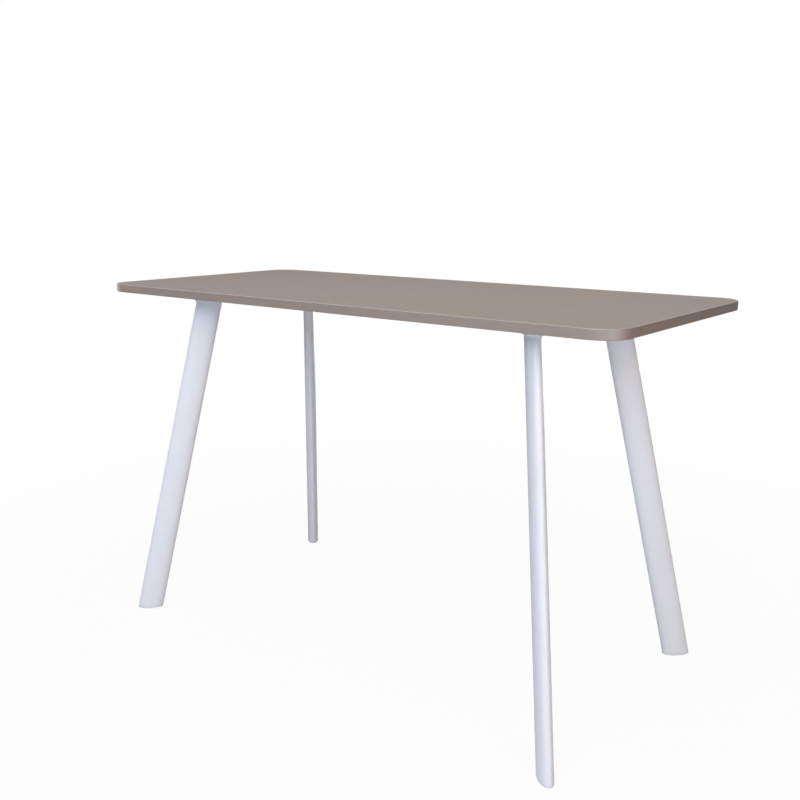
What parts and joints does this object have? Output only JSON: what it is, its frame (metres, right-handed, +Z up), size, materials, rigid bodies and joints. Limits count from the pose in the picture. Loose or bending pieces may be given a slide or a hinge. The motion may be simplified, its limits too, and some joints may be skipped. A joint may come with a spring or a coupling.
{
  "type": "standing meeting table",
  "caption": "Standing-height rectangular meeting table: banded laminate top with round corners on splayed elliptical tube legs with levelling glides.",
  "frame": {"origin": "on the floor under the middle of the top", "axes": "+X along the top's length, +Y towards the rear long edge (the front is -Y), +Z up"},
  "size_m": [1.8, 0.8672, 1.1],
  "materials": {
    "chipboard": "raw chipboard",
    "top_laminate": "fine matt",
    "backing_laminate": "matt",
    "edge_band": "satin",
    "rail_coat": "semi-gloss powder coat",
    "head_coat": "semi-gloss white powder coat on a casting",
    "leg_coat": "semi-gloss powder coat",
    "zinc_steel": "bright zinc plated",
    "insert_alloy": "as cast",
    "cap_plastic": "matt moulded",
    "plug_nylon": "matt moulded",
    "glide_nylon": "matt moulded"
  },
  "bodies": {
    "table": {"backing_laminate": "backing_laminate", "edge_band": "edge_band", "end_rail_left": "rail_coat", "end_rail_right": "rail_coat", "foot_nuts": "zinc_steel", "foot_plug_front_left": "plug_nylon", "foot_plug_front_right": "plug_nylon", "foot_plug_rear_left": "plug_nylon", "foot_plug_rear_right": "plug_nylon", "frame_inserts": "insert_alloy", "frame_screws": "zinc_steel", "leg_bolts": "zinc_steel", "leg_head_front_left": "head_coat", "leg_head_front_right": "head_coat", "leg_head_rear_left": "head_coat", "leg_head_rear_right": "head_coat", "leg_tube_front_left": "leg_coat", "leg_tube_front_right": "leg_coat", "leg_tube_rear_left": "leg_coat", "leg_tube_rear_right": "leg_coat", "long_rail_front": "rail_coat", "long_rail_rear": "rail_coat", "middle_rail": "rail_coat", "rail_end_caps": "cap_plastic", "rail_weld_nuts": "zinc_steel", "top_core": "chipboard", "top_laminate": "top_laminate"},
    "glide_front_left": {"glide_disc_front_left": "glide_nylon", "glide_stem_front_left": "zinc_steel"},
    "glide_front_right": {"glide_disc_front_right": "glide_nylon", "glide_stem_front_right": "zinc_steel"},
    "glide_rear_right": {"glide_disc_rear_right": "glide_nylon", "glide_stem_rear_right": "zinc_steel"},
    "glide_rear_left": {"glide_disc_rear_left": "glide_nylon", "glide_stem_rear_left": "zinc_steel"}
  },
  "joints": [
    {"name": "glide_lift_front_left", "type": "slide", "parent": "table", "child": "glide_front_left", "axis": [0, 0, -1], "range_m": [0, 0.01]},
    {"name": "glide_lift_front_right", "type": "slide", "parent": "table", "child": "glide_front_right", "axis": [0, 0, -1], "range_m": [0, 0.01]},
    {"name": "glide_lift_rear_right", "type": "slide", "parent": "table", "child": "glide_rear_right", "axis": [0, 0, -1], "range_m": [0, 0.01]},
    {"name": "glide_lift_rear_left", "type": "slide", "parent": "table", "child": "glide_rear_left", "axis": [0, 0, -1], "range_m": [0, 0.01]}
  ]
}
